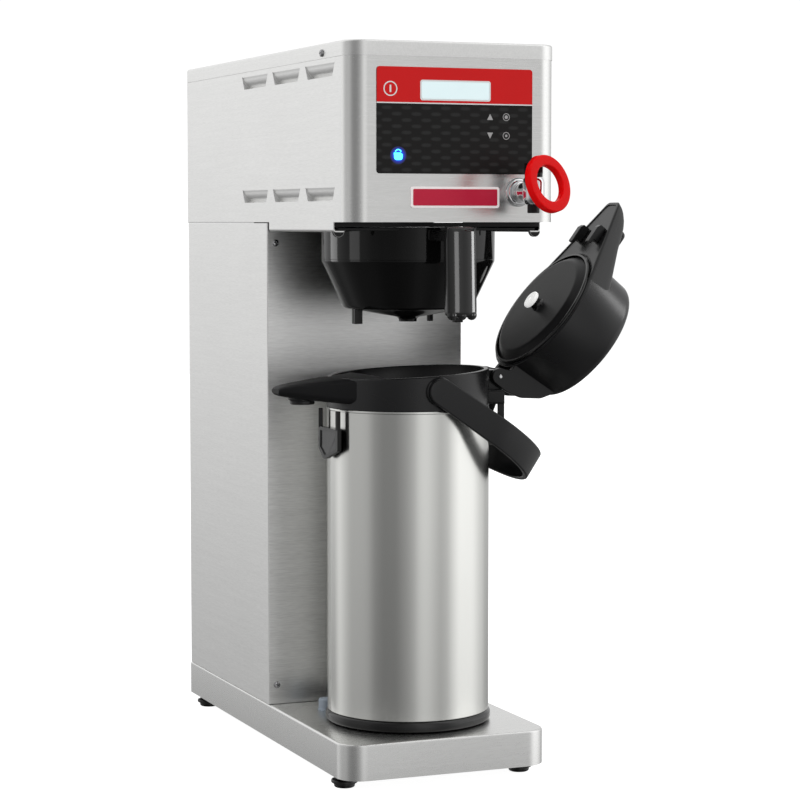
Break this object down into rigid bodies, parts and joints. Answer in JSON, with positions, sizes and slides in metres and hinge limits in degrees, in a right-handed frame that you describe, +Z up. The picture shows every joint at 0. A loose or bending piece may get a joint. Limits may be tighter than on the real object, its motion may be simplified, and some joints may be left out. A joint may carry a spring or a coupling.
{
  "type": "coffee brewer",
  "caption": "Single-head commercial coffee brewer on a tall column, with a slide-in funnel, a ring-pull hot water faucet and an open pump airpot standing beneath it.",
  "frame": {"origin": "on the counter plane midway between the four feet, on the brewer's centre plane", "axes": "+Z up from the counter, -Y towards the front with the control panel, +X towards the right seen from the front, where the airpot lid is hinged"},
  "size_m": [0.3805, 0.6036, 0.7152],
  "materials": {
    "stainless": "brushed",
    "inner_steel": "mill",
    "screw_steel": "bright",
    "chrome": "polished",
    "black_plastic": "satin",
    "rubber": "matte",
    "panel_print": "printed film",
    "display": "clear window over a pale display",
    "badge": "blank badge",
    "board": "printed circuit board",
    "brass": "machined",
    "tube": "drawn tube",
    "red_plastic": "moulded",
    "white_plastic": "moulded"
  },
  "bodies": {
    "housing": {"base_pan": "stainless", "base_stiffener": "inner_steel", "levelling_feet": "rubber", "locator_pegs": "screw_steel", "column_wrap": "stainless", "column_front_panel": "stainless", "front_panel_screws": "screw_steel", "head_wrap": "stainless", "top_cover": "stainless", "cover_screws": "screw_steel", "rear_panel": "stainless", "rear_panel_screws": "screw_steel", "head_floor": "black_plastic", "spray_head": "screw_steel", "control_panel": "panel_print", "display_window": "display", "control_board": "board", "name_badge": "badge", "terminal_block": "black_plastic", "cord_gland": "black_plastic", "inlet_fitting": "brass", "inlet_valve": "inner_steel", "fill_tube": "tube", "hot_water_tank": "inner_steel", "tank_gasket": "rubber", "tank_lid": "inner_steel", "heating_elements": "inner_steel", "temperature_probe": "inner_steel", "level_probe": "inner_steel", "overheat_thermostat": "inner_steel", "brew_valve": "inner_steel", "brew_tube": "tube", "faucet_tube": "tube", "faucet_shank": "chrome", "faucet_bezel": "chrome", "faucet_body": "black_plastic", "faucet_nozzle": "black_plastic", "faucet_bonnet": "black_plastic", "faucet_pin": "screw_steel"},
    "faucet_lever": {"faucet_handle": "red_plastic"},
    "basket": {"brew_basket": "black_plastic", "basket_handle": "black_plastic", "filter_support": "inner_steel"},
    "airpot": {"airpot_base": "black_plastic", "airpot_casing": "stainless", "vacuum_flask": "inner_steel", "airpot_collar": "black_plastic", "pour_nozzle": "black_plastic", "dip_tube": "inner_steel", "handle_rest": "black_plastic", "lid_pin": "screw_steel"},
    "latch": {"lid_latch": "black_plastic"},
    "bail": {"bail_handle": "black_plastic"},
    "lid": {"lid_shell": "black_plastic", "lid_underside": "black_plastic", "lid_gasket": "rubber", "vent_valve": "white_plastic", "bellows": "rubber"},
    "button": {"pump_button": "black_plastic"},
    "lock": {"pump_lock": "black_plastic"}
  },
  "joints": [
    {"name": "basket_slide", "type": "slide", "parent": "housing", "child": "basket", "axis": [0, -1, 0], "range_m": [0, 0.2]},
    {"name": "faucet_pull", "type": "hinge", "parent": "housing", "child": "faucet_lever", "pos_m": [0.065, -0.2945, 0.597], "axis": [-1, 0, 0], "range_deg": [0, 25], "stiffness_Nm_per_rad": 0.3, "springref_deg": -22.92},
    {"name": "airpot_slide", "type": "slide", "parent": "housing", "child": "airpot", "axis": [0, -1, 0], "range_m": [0, 0.2]},
    {"name": "lid_hinge", "type": "hinge", "parent": "airpot", "child": "lid", "pos_m": [0.092, -0.141, 0.391], "axis": [0, -1, 0], "range_deg": [0, 25]},
    {"name": "bail_hinge", "type": "hinge", "parent": "airpot", "child": "bail", "pos_m": [0, -0.141, 0.382], "axis": [0, -1, 0], "range_deg": [0, 15]},
    {"name": "latch_press", "type": "hinge", "parent": "airpot", "child": "latch", "pos_m": [-0.0865, -0.141, 0.3595], "axis": [0, -1, 0], "range_deg": [0, 3], "stiffness_Nm_per_rad": 0.5, "springref_deg": -5.73},
    {"name": "pump_press", "type": "slide", "parent": "lid", "child": "button", "axis": [-0.8028, 0, 0.5962], "range_m": [0, 0.02], "stiffness_N_per_m": 300, "springref_m": -0.01},
    {"name": "pump_lock_slide", "type": "slide", "parent": "lid", "child": "lock", "axis": [0, 1, 0], "range_m": [0, 0.006]}
  ]
}
